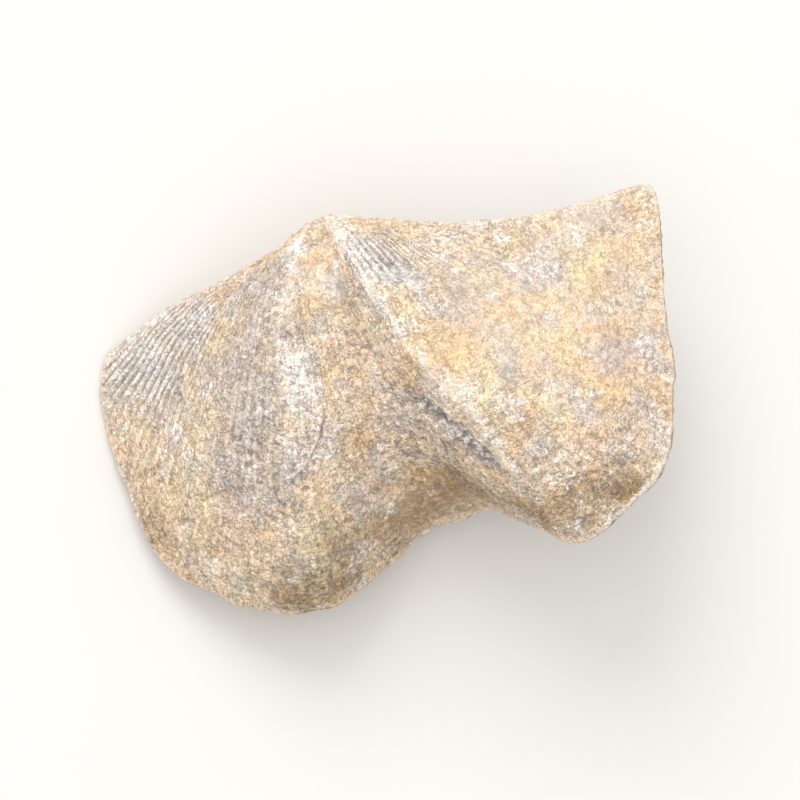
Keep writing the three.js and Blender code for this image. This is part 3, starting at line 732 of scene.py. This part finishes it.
def thin_out(piece, most):
    """Joins the flattest squares of the piece into larger faces until it has at most that many triangles."""
    triangles = sum(len(face.vertices) - 2 for face in piece.data.polygons)
    fewer = piece.modifiers.new("fewer_faces", "DECIMATE")
    fewer.ratio = min(1.0, most / triangles)
    settled(piece)


def lay_down(surface):
    """From the shell's frame in mm to the resting place in metres. What would sink in is worn flat."""
    laid = surface.points @ np.array(REST_TURN).T + REST_PLACE
    laid[:, 2] = np.maximum(laid[:, 2], 0.0)
    surface.move(laid * MM)


def make_shell(sizes):
    """Both valves as one piece: the plain shell meshed evenly, with its relief and masks, and laid down."""
    plain = PlainShell(sizes.seam_depth / MM)
    piece = even_object("fossil_shell", plain.points.reshape(-1, 3), plain.faces(), sizes.mesh_size / MM)
    surface = Surface(piece.data)
    at = ShellPoints(surface.points, *plain.places(surface.points))
    relief, masks = shell_relief(at, sizes)
    beak = np.where(at.ventral[:, None], VENTRAL["beak"], DORSAL["beak"])
    towards = beak - surface.points
    towards /= np.linalg.norm(towards, axis=1, keepdims=True)
    surface.move(surface.points + surface.normals * relief[:, None] + towards * chipped(at)[:, None])
    masks["hollow"] = surface.hollow(*FINE_HOLLOW)
    masks["wide_hollow"] = surface.hollow(*WIDE_HOLLOW)
    for name, values in masks.items():
        surface.keep(name, values)
    thin_out(piece, sizes.most_triangles)
    lay_down(Surface(piece.data))
    return piece


def make_mud(sizes):
    """A lumpy plug in the open triangle under the beak: its top lies a little below the shell around it."""
    across = np.linspace(HINGE_MIDDLE - GAP_HALF, HINGE_MIDDLE + GAP_HALF, MUD_COLUMNS)
    w, g = np.meshgrid(across, np.linspace(*MUD_STAGES, MUD_ROWS))
    shell = grown(VENTRAL, w, g)
    out = np.cross(np.gradient(shell, axis=1), np.gradient(shell, axis=0))
    out /= np.linalg.norm(out, axis=-1, keepdims=True)
    sunk = np.minimum(mud_gap(w, g, GAP_DEPTH), MUD_DEPTH * g)
    top = shell - out * sunk[..., None]
    bottom = shell - out * (sunk + MUD_BODY * g + MUD_LEAST)[..., None]
    upper = np.arange(w.size).reshape(w.shape)
    lower = upper + w.size
    faces = [sheet_faces(upper), sheet_faces(lower)]
    for side in (np.s_[0], np.s_[-1], np.s_[:, 0], np.s_[:, -1]):
        faces.append(sheet_faces(np.stack([upper[side], lower[side]])))
    points = np.vstack([top.reshape(-1, 3), bottom.reshape(-1, 3)])
    piece = even_object("mud_filling", points, np.vstack(faces), sizes.mesh_size / MM)
    surface = Surface(piece.data)
    dome, chance = grains(surface.points, MUD_GRAIN * sizes.grain_size / MM, 7.0)
    lumps = waves(surface.points, "mud") + MUD_GRAIN_HEIGHT * (dome - 0.5) * (0.4 + chance)
    surface.move(surface.points + surface.normals * (lumps - MUD_SHRINK)[:, None])
    surface.keep("hollow", surface.hollow(*MUD_HOLLOW))
    lay_down(surface)
    return piece


class Tree:
    """Short ways to place and join nodes in one node tree."""

    def __init__(self, tree):
        self.tree = tree

    def node(self, kind, **settings):
        made = self.tree.nodes.new(kind)
        for key, value in settings.items():
            setattr(made, key, value)
        return made

    def feed(self, socket, value):
        """Joins an output to the socket, or sets it to a plain value."""
        if isinstance(value, bpy.types.NodeSocket):
            self.tree.links.new(value, socket)
        else:
            socket.default_value = value

    def math(self, operation, *values):
        made = self.node("ShaderNodeMath", operation=operation)
        for socket, value in zip(made.inputs, values):
            self.feed(socket, value)
        return made.outputs[0]

    def spread(self, value, low, high, to_low=0.0, to_high=1.0):
        """An even curve from to_low, where the value is low, to to_high, where it is high."""
        made = self.node("ShaderNodeMapRange", interpolation_type="SMOOTHSTEP")
        for socket, given in zip(made.inputs, (value, low, high, to_low, to_high)):
            self.feed(socket, given)
        return made.outputs[0]

    def mix(self, share, one, other, blend="MIX"):
        made = self.node("ShaderNodeMix", data_type="RGBA", blend_type=blend, clamp_factor=True)
        self.feed(made.inputs["Factor"], share)
        self.feed(made.inputs[6], one)
        self.feed(made.inputs[7], other)
        return made.outputs[2]

    def texture(self, kind, place, settings=None, **values):
        made = self.node(kind, **(settings or {}))
        self.feed(made.inputs["Vector"], place)
        for name, value in values.items():
            self.feed(made.inputs[name.capitalize()], value)
        return made.outputs

    def noise(self, place, scale, detail=2.0, roughness=0.5, distortion=0.0):
        return self.texture("ShaderNodeTexNoise", place, scale=scale, detail=detail, roughness=roughness,
                            distortion=distortion)["Fac"]

    def cells(self, place, scale, feature="F1"):
        return self.texture("ShaderNodeTexVoronoi", place, {"feature": feature}, scale=scale)

    def split(self, color):
        """The red, green and blue of a colour."""
        made = self.node("ShaderNodeSeparateColor")
        self.feed(made.inputs[0], color)
        return made.outputs

    def stored(self, name):
        """A mask that is kept with the mesh."""
        return self.node("ShaderNodeAttribute", attribute_name=name).outputs["Fac"]

    def streaks(self):
        """Thin streaks along the ribs: noise in coordinates that are stretched along them."""
        made = self.node("ShaderNodeCombineXYZ")
        self.feed(made.inputs["X"], self.math("MULTIPLY", self.stored("across_ribs"), STREAKS_ACROSS))
        self.feed(made.inputs["Y"], self.math("MULTIPLY", self.stored("along_ribs"), STREAKS_ALONG))
        return self.noise(made.outputs[0], 1.0, 2.0, 0.6)

    def group(self, tree, **values):
        made = self.node("ShaderNodeGroup", node_tree=tree)
        for name, value in values.items():
            self.feed(made.inputs[name.replace("_", " ").capitalize()], value)
        return made.outputs


def new_group(name, inputs, outputs):
    """An empty shader node group with named sockets; returns its tree, its inputs and its output node."""
    tree = bpy.data.node_groups.new(name, "ShaderNodeTree")
    for in_out, sockets in (("INPUT", inputs), ("OUTPUT", outputs)):
        for socket, kind in sockets.items():
            tree.interface.new_socket(socket, in_out=in_out, socket_type="NodeSocket" + kind)
    made = Tree(tree)
    return made, made.node("NodeGroupInput").outputs, made.node("NodeGroupOutput").inputs


def grain_group():
    """Packed crystal grains in two sizes: random values for each grain, a tone and a height."""
    outputs = dict.fromkeys(("Chance", "Second chance", "Fine chance", "Tone", "Height"), "Float")
    t, given, out = new_group("stone_grain", {"Place": "Vector", "Size": "Float"}, outputs)
    scale = t.math("DIVIDE", 1.0, given["Size"])
    fine_scale = t.math("MULTIPLY", scale, FINE_SHARE)
    wobble = t.texture("ShaderNodeTexNoise", given["Place"], scale=t.math("MULTIPLY", scale, 1.7))
    bent = t.node("ShaderNodeVectorMath", operation="MULTIPLY_ADD")
    for socket, value in zip(bent.inputs, (wobble["Color"], (0.35, 0.35, 0.35), given["Place"])):
        t.feed(socket, value)
    place = bent.outputs[0]
    coarse = t.split(t.cells(place, scale)["Color"])
    fine = t.split(t.cells(place, fine_scale)["Color"])
    t.feed(out["Chance"], coarse["Red"])
    t.feed(out["Second chance"], coarse["Green"])
    t.feed(out["Fine chance"], fine["Red"])
    dome, fine_dome = (t.spread(t.cells(place, wide, "DISTANCE_TO_EDGE")["Distance"], 0.0, 0.30)
                       for wide in (scale, fine_scale))
    crumbs = t.spread(t.noise(place, t.math("MULTIPLY", scale, 3.5), 2.0, 0.6), 0.30, 0.70)
    own = t.math("MULTIPLY_ADD", fine["Red"], 0.5, t.math("MULTIPLY", coarse["Blue"], 0.5))
    shape = t.math("MULTIPLY_ADD", dome, 0.14, t.math("MULTIPLY", crumbs, 0.68))
    shape = t.math("MULTIPLY_ADD", fine_dome, 0.18, shape)
    t.feed(out["Tone"], t.math("MULTIPLY_ADD", own, 0.45, t.math("MULTIPLY", shape, 0.55)))
    t.feed(out["Height"], t.math("MULTIPLY_ADD", own, 0.45, shape))
    return t.tree


def blotch_group():
    """One colour laid over another: a soft veil, and whole grains of it, more where it is strong."""
    inputs = {"Under": "Color", "Over": "Color", "Mask": "Float", "Chance": "Float", "Veil": "Float",
              "Grains": "Float"}
    t, given, out = new_group("blotch", inputs, {"Color": "Color"})
    low = t.math("MULTIPLY_ADD", given["Mask"], -1.05, 1.02)
    picked = t.spread(given["Chance"], low, t.math("ADD", low, 0.12))
    veil = t.math("MULTIPLY", given["Mask"], given["Veil"])
    share = t.math("MAXIMUM", veil, t.math("MULTIPLY", picked, given["Grains"]))
    t.feed(out["Color"], t.mix(share, given["Under"], given["Over"]))
    return t.tree


def hollow_shade_group():
    """Darker in hollows and paler on crests: partly dirt and wear, partly painted shade in the hollows and
    painted highlight on the crests.
    """
    inputs = {"Color": "Color", "Dirt": "Color", "Rubbed": "Color", "Hollow": "Float", "Dirt amount": "Float",
              "Rub amount": "Float", "Place": "Vector"}
    t, given, out = new_group("hollow_shade_and_dirt", inputs, {"Color": "Color"})
    patch = t.noise(given["Place"], 1.1, 3.0, 0.6)
    deep = t.math("MULTIPLY", t.spread(given["Hollow"], 0.05, 0.9), t.spread(patch, 0.25, 0.6, 0.35, 1.0))
    high = t.spread(t.math("MULTIPLY", given["Hollow"], -1.0), 0.1, 0.9)
    dirty = t.mix(t.math("MULTIPLY", deep, given["Dirt amount"]), given["Color"], given["Dirt"])
    t.feed(out["Color"], t.mix(t.math("MULTIPLY", high, given["Rub amount"]), dirty, given["Rubbed"]))
    return t.tree


def opaque(color):
    return (*color, 1.0)


class Stone(Tree):
    """A material with its Principled shader, and its colour as it builds up."""

    def __init__(self, name, colors=None):
        self.material = bpy.data.materials.new(name)
        self.material.use_nodes = True
        super().__init__(self.material.node_tree)
        self.shader = self.tree.nodes["Principled BSDF"]
        self.colors = colors
        self.place = self.place_in_mm()

    def place_in_mm(self):
        """Object coordinates in mm, so that every size in a material is a real one."""
        made = self.node("ShaderNodeVectorMath", operation="SCALE")
        self.feed(made.inputs[0], self.node("ShaderNodeTexCoord").outputs["Object"])
        self.feed(made.inputs["Scale"], 1.0 / MM)
        return made.outputs[0]

    def named(self, name):
        return opaque(getattr(self.colors, name))

    def grained(self, size):
        """Places the grain effect, whose values the later steps use."""
        self.grain = self.group(bpy.data.node_groups["stone_grain"], place=self.place, size=size)

    def base(self, one, other, share):
        self.color = self.mix(share, self.named(one), self.named(other))

    def toned(self, low, high, share=1.0):
        """Makes some grains darker and some brighter."""
        tone = self.spread(self.grain["Tone"], 0.22, 0.70, low, high)
        self.color = self.mix(share, self.color, tone, "MULTIPLY")

    def stained(self, name, **values):
        laid = self.group(bpy.data.node_groups["blotch"], under=self.color, over=self.named(name), **values)
        self.color = laid["Color"]

    # Darkens hollows and pales crests: painted shade and painted highlight, partly dirt and wear.
    def shaded_in_hollows(self, dirt, mask, dirt_amount, rub_amount):
        laid = self.group(bpy.data.node_groups["hollow_shade_and_dirt"], color=self.color, dirt=self.named(dirt),
                          rubbed=self.named("rubbed"), hollow=self.stored(mask), dirt_amount=dirt_amount,
                          rub_amount=rub_amount, place=self.place)
        self.color = laid["Color"]

    def finished(self, roughness, gloss, grain_depth=0.0):
        """Joins everything to the shader. The grain stands out by its depth in mm."""
        self.feed(self.shader.inputs["Base Color"], self.color)
        self.feed(self.shader.inputs["Roughness"], roughness)
        self.shader.inputs["Specular IOR Level"].default_value = gloss
        if grain_depth:
            lift = self.node("ShaderNodeBump")
            lift.inputs["Strength"].default_value = GRAIN_STRENGTH
            lift.inputs["Distance"].default_value = grain_depth * MM
            self.feed(lift.inputs["Height"], self.grain["Height"])
            self.feed(self.shader.inputs["Normal"], lift.outputs["Normal"])
        return self.material


def shell_material(colors, sizes):
    """Crystalline stone: cream to peach, stained ochre, smoke grey, chalky white and earthy brown, with
    painted shade in hollows, rib grooves, pits and on the scarp, and painted highlights on crests and edges.
    """
    t = Stone("worn_shell_stone", colors)
    t.grained(sizes.grain_size / MM)
    chance, second, fine = t.grain["Chance"], t.grain["Second chance"], t.grain["Fine chance"]
    broad = t.spread(t.noise(t.place, 0.25, 3.0, 0.5), 0.38, 0.62)
    t.base("shell_pale", "shell", t.math("MAXIMUM", t.math("MULTIPLY", broad, 0.5), t.stored("peach")))
    for name, scale, most in CLOUDS:
        cloud = t.spread(t.noise(t.place, scale, 1.0, 0.4, 0.2), 0.48, 0.68)
        t.color = t.mix(t.math("MULTIPLY", cloud, most), t.color, t.named(name))
    lucks = {"second": second, "fine": fine, "not_first": t.math("SUBTRACT", 1.0, chance),
             "not_second": t.math("SUBTRACT", 1.0, second)}
    for name, luck, veil, grains_share in SHELL_STAINS:
        t.stained(name, mask=t.stored(name), chance=lucks[luck], veil=veil, grains=grains_share)
    # Rib grooves darkened with the scarp's dark colour: painted shade in the grooves, partly dirt.
    t.color = t.mix(t.math("MULTIPLY", t.stored("groove"), 0.48), t.color, t.named("bank"))
    t.toned(0.50, 1.28, t.spread(t.stored("coarse"), 0.0, 1.0, 0.68, 1.0))
    t.color = t.mix(t.stored("streaky"), t.color, t.spread(t.streaks(), 0.34, 0.66, 0.82, 1.11), "MULTIPLY")
    # Painted shade in fine and broad hollows and painted highlight on crests, partly dirt and wear.
    t.shaded_in_hollows("grime_and_shade", "hollow", dirt_amount=0.55, rub_amount=0.26)
    t.shaded_in_hollows("dark_specks_and_shade", "wide_hollow", dirt_amount=0.32, rub_amount=0.20)
    return t.finished(t.spread(chance, 0.0, 1.0, 0.95, 0.60), gloss=0.35, grain_depth=0.07)


def mud_material(colors, sizes):
    """Hardened mud: brown sandy matter with pale and rusty grains in it."""
    t = Stone("hardened_mud", colors)
    t.grained(0.8 * sizes.grain_size / MM)
    t.base("mud", "mud_pale", t.spread(t.noise(t.place, 0.6, 4.0, 0.6), 0.35, 0.65))
    for name, mask, luck in MUD_SPECKS:
        t.stained(name, mask=mask, chance=t.grain[luck], veil=0.0, grains=0.55)
    t.toned(0.60, 1.20)
    # Painted shade in the mud's hollows and painted highlight on its crests, partly earth and wear.
    t.shaded_in_hollows("soil_and_shade", "hollow", dirt_amount=0.7, rub_amount=0.25)
    return t.finished(t.spread(t.grain["Chance"], 0.0, 1.0, 0.98, 0.80), gloss=0.25, grain_depth=0.06)


def floor_material(color):
    """A plain pale floor with a very faint shade in it."""
    t = Stone("pale_floor")
    t.color = t.mix(t.noise(t.place, 0.02, 2.0), opaque(color), opaque([0.97 * c for c in color]))
    return t.finished(0.85, gloss=0.2)


def color_setting(name, description, default):
    return FloatVectorProperty(name=name, description=description, default=default, size=3, min=0.0, max=1.0,
                               subtype="COLOR")


def length_setting(name, description, default, low, high):
    return FloatProperty(name=name, description=description, default=default, min=low, max=high, precision=5,
                         subtype="DISTANCE", unit="LENGTH")


def count_setting(name, description, default, low, high):
    return IntProperty(name=name, description=description, default=default, min=low, max=high)


def power_setting(name, description, default):
    return FloatProperty(name=name, description=description, default=default, min=0.0, unit="POWER")


class FossilSizes(bpy.types.PropertyGroup):
    """Sizes of the relief on the shell"""
    mesh_size: length_setting(
        "Mesh size", "Width of the squares that the surface is made of", 0.000172, 0.0001, 0.001)
    most_triangles: count_setting(
        "Most triangles", "Triangles that the shell may have", 194000, 10000, 2000000)
    flank_ribs: count_setting("Flank ribs", "Ribs between a ridge and its ear", 30, 4, 60)
    sulcus_ribs: count_setting("Sulcus ribs", "Ribs in the sulcus", 20, 2, 60)
    ventral_rib_height: length_setting(
        "Ventral rib height", "Rib height on the upper valve", 0.00028, 0.0, 0.001)
    dorsal_rib_height: length_setting(
        "Dorsal rib height", "Rib height on the lower valve", 0.00032, 0.0, 0.001)
    growth_step: length_setting(
        "Growth step", "Height of one growth line near the margin", 0.00005, 0.0, 0.0005)
    grain_size: length_setting(
        "Grain size", "Width of one grain of the crystal crust", 0.00046, 0.0001, 0.002)
    grain_height: length_setting("Grain height", "Relief of the crystal crust", 0.00007, 0.0, 0.0005)
    seam_depth: length_setting(
        "Seam depth", "Depth of the groove between the valves", 0.0002, 0.0, 0.001)


class FossilColors(bpy.types.PropertyGroup):
    """Colours of the stone"""
    shell: color_setting("Shell", "Peach cream of the plain stone", (0.885, 0.64, 0.40))
    shell_pale: color_setting("Pale shell", "Greyer cream that the plain stone fades to", (0.84, 0.70, 0.53))
    ochre: color_setting("Ochre", "Orange iron stain", (0.86, 0.59, 0.34))
    ochre_deep: color_setting("Deep ochre", "Rusty specks", (0.52, 0.29, 0.12))
    smoke: color_setting("Smoke grey", "Violet grey stain", (0.49, 0.44, 0.44))
    slate: color_setting("Slate", "Bluish grey stain", (0.565, 0.58, 0.61))
    # Besides dark specks in the mud, this paints shade in the shell's broad hollows.
    dark_specks_and_shade: color_setting("Deep smoke", "Dark grey specks and shadows of old dirt", (0.25, 0.21, 0.19))
    # Also painted highlight on the crests, the flake's edge and the lip, and painted light on some slopes
    # facing away from the light.
    chalk_and_highlight: color_setting("Chalk", "Whitish crystals and worn spots", (0.92, 0.885, 0.875))
    # Also painted shadow along the shell's front margin and painted shade in the mud's hollows.
    soil_and_shade: color_setting("Soil", "Brown earth in the hollows", (0.335, 0.20, 0.07))
    # Used only in the hollow effect, so it also paints shade between the grains.
    grime_and_shade: color_setting("Grime", "Greyish brown dirt between the grains", (0.39, 0.315, 0.255))
    mud: color_setting("Mud", "Brown hardened mud", (0.29, 0.205, 0.135))
    mud_pale: color_setting("Pale mud", "Sandy parts of the mud", (0.42, 0.33, 0.23))
    # Also painted shade on the scarp's steep face, in pits and in rib grooves.
    bank: color_setting("Bank", "Blackish grey dirt on the scarp", (0.255, 0.24, 0.24))
    straw: color_setting("Straw", "Greenish yellow cast in the cream", (0.82, 0.71, 0.47))
    rose: color_setting("Rose", "Pinkish cast in the cream", (0.83, 0.64, 0.53))
    # Used for the paler crests in the hollow effect: partly wear, partly painted highlight.
    rubbed: color_setting("Rubbed", "Pale crests that hands have rubbed", (0.885, 0.785, 0.67))


class FossilStage(bpy.types.PropertyGroup):
    """The floor, the light and the camera"""
    floor: color_setting("Floor", "Colour of the plain floor", (0.745, 0.735, 0.72))
    key: power_setting("Key light", "Power of the large soft light", 2.6)
    fill: power_setting("Fill light", "Power of the light above", 3.2)
    around: FloatProperty(
        name="Light all round", description="Strength of the even light", default=0.8, min=0.0)
    lens: FloatProperty(name="Lens", description="Focal length of the camera in mm", default=200.0, min=20.0)
    picture_width: length_setting(
        "Picture width", "Width that the camera sees at the fossil", 0.06, 0.01, 1.0)


class Fossil:
    """What every operator of this file has."""
    bl_options = {"REGISTER", "UNDO"}


class FOSSIL_OT_effects(Fossil, bpy.types.Operator):
    """Makes the stain, grain and hollow effects that the materials share; the hollow effect is partly dirt
    and wear, partly painted shade and painted highlight
    """
    bl_idname = "fossil.effects"
    bl_label = "Shared effects"

    def execute(self, context):
        for make in (blotch_group, grain_group, hollow_shade_group):
            make()
        return {"FINISHED"}


class FOSSIL_OT_shell(Fossil, bpy.types.Operator):
    """Makes both valves as one worn, stained piece of stone"""
    bl_idname = "fossil.shell"
    bl_label = "Shell"

    def execute(self, context):
        sizes = context.scene.fossil_sizes
        piece = make_shell(sizes)
        piece.data.materials.append(shell_material(context.scene.fossil_colors, sizes))
        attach(piece, "root")
        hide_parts(NODE)
        return {"FINISHED"}


class FOSSIL_OT_mud(Fossil, bpy.types.Operator):
    """Makes the hardened mud in the open triangle under the beak"""
    bl_idname = "fossil.mud"
    bl_label = "Mud filling"

    def execute(self, context):
        sizes = context.scene.fossil_sizes
        piece = make_mud(sizes)
        piece.data.materials.append(mud_material(context.scene.fossil_colors, sizes))
        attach(piece, "root")
        return {"FINISHED"}


# The camera looks straight at the picture plane, whose sides these are in the row frame, in metres.
PICTURE_RIGHT = Vector((0.9558, -0.2629, 0.1318))
PICTURE_UP = Vector((0.2617, 0.9648, 0.0267))
PICTURE_MIDDLE = Vector((-0.0004, -0.0004, 0.009))
CLOSEST, FARTHEST = 0.01, 10.0  # what the camera still sees

# Round soft lights: place and width in metres, and colour. Then the even light, and the floor.
KEY_LIGHT = {"place": (-0.06, 0.52, 0.50), "width": 0.4, "color": (0.965, 0.965, 0.955)}
FILL_LIGHT = {"place": (-0.10, 0.10, 0.90), "width": 1.0, "color": (0.98, 0.948, 0.90)}
AIR_COLOR = (1.0, 0.99, 0.98)
FLOOR_HALF = 1.5


def add_object(name, data):
    made = bpy.data.objects.new(name, data)
    bpy.context.scene.collection.objects.link(made)
    return made


def add_floor(color):
    mesh = bpy.data.meshes.new("studio_floor")
    corners = [(x * FLOOR_HALF, y * FLOOR_HALF, 0.0) for x, y in ((-1, -1), (1, -1), (1, 1), (-1, 1))]
    mesh.from_pydata(corners, [], [(0, 1, 2, 3)])
    mesh.materials.append(floor_material(color))
    return add_object("studio_floor", mesh)


def add_light(name, power, place, width, color):
    light = bpy.data.lights.new(name, "AREA")
    light.shape = "DISK"
    light.size = width
    light.energy = power
    light.color = color
    lamp = add_object(name, light)
    lamp.location = place
    lamp.rotation_euler = (PICTURE_MIDDLE - Vector(place)).to_track_quat("-Z", "Y").to_euler()
    lamp.visible_camera = False


def add_air(strength):
    """Even light from all round."""
    air = bpy.data.worlds.new("studio_air")
    air.use_nodes = True
    background = air.node_tree.nodes["Background"]
    background.inputs["Color"].default_value = opaque(AIR_COLOR)
    background.inputs["Strength"].default_value = strength
    return air


def add_camera(focal_length, picture_width):
    """A camera in front of the picture plane, as far away as it takes to see the picture's width."""
    lens = bpy.data.cameras.new("camera")
    lens.lens = focal_length
    lens.clip_start, lens.clip_end = CLOSEST, FARTHEST
    right, up = PICTURE_RIGHT.normalized(), PICTURE_UP.normalized()
    back = right.cross(up).normalized()
    turn = Matrix((right, back.cross(right), back)).transposed()
    away = picture_width * focal_length / lens.sensor_width
    camera = add_object("camera", lens)
    camera.matrix_world = Matrix.LocRotScale(PICTURE_MIDDLE + back * away, turn, None)
    return camera


class FOSSIL_OT_stage(Fossil, bpy.types.Operator):
    """Makes the floor, the soft studio light and the camera"""
    bl_idname = "fossil.stage"
    bl_label = "Stage"

    def execute(self, context):
        scene, stage = context.scene, context.scene.fossil_stage
        floor = add_floor(stage.floor)
        add_light("key_light", stage.key, **KEY_LIGHT)
        add_light("fill_light", stage.fill, **FILL_LIGHT)
        scene.world = add_air(stage.around)
        scene.camera = add_camera(stage.lens, stage.picture_width)
        scene.view_settings.view_transform = "Standard"
        return {"FINISHED"}


OPERATORS = (FOSSIL_OT_effects, FOSSIL_OT_shell, FOSSIL_OT_mud, FOSSIL_OT_stage)


class FOSSIL_PT_parts(bpy.types.Panel):
    """Lists the operators and their settings"""
    bl_idname = "FOSSIL_PT_parts"
    bl_label = "Spiriferid fossil"
    bl_space_type = "VIEW_3D"
    bl_region_type = "UI"
    bl_category = "Fossil"

    def draw(self, context):
        for operator in OPERATORS:
            self.layout.operator(operator.bl_idname)
        for group in (context.scene.fossil_sizes, context.scene.fossil_colors, context.scene.fossil_stage):
            box = self.layout.box()
            for key in group.__annotations__:
                box.prop(group, key)


SETTINGS = {"fossil_sizes": FossilSizes, "fossil_colors": FossilColors, "fossil_stage": FossilStage}
CLASSES = (*SETTINGS.values(), *OPERATORS, FOSSIL_PT_parts)


def register():
    for cls in CLASSES:
        bpy.utils.register_class(cls)
    for name, group in SETTINGS.items():
        setattr(bpy.types.Scene, name, PointerProperty(type=group))


def unregister():
    for name in SETTINGS:
        delattr(bpy.types.Scene, name)
    for cls in reversed(CLASSES):
        bpy.utils.unregister_class(cls)


def main():
    register()
    bpy.ops.fossil.effects()
    bpy.ops.fossil.shell()
    bpy.ops.fossil.mud()
    bpy.ops.fossil.stage()


if __name__ == "__main__":
    main()
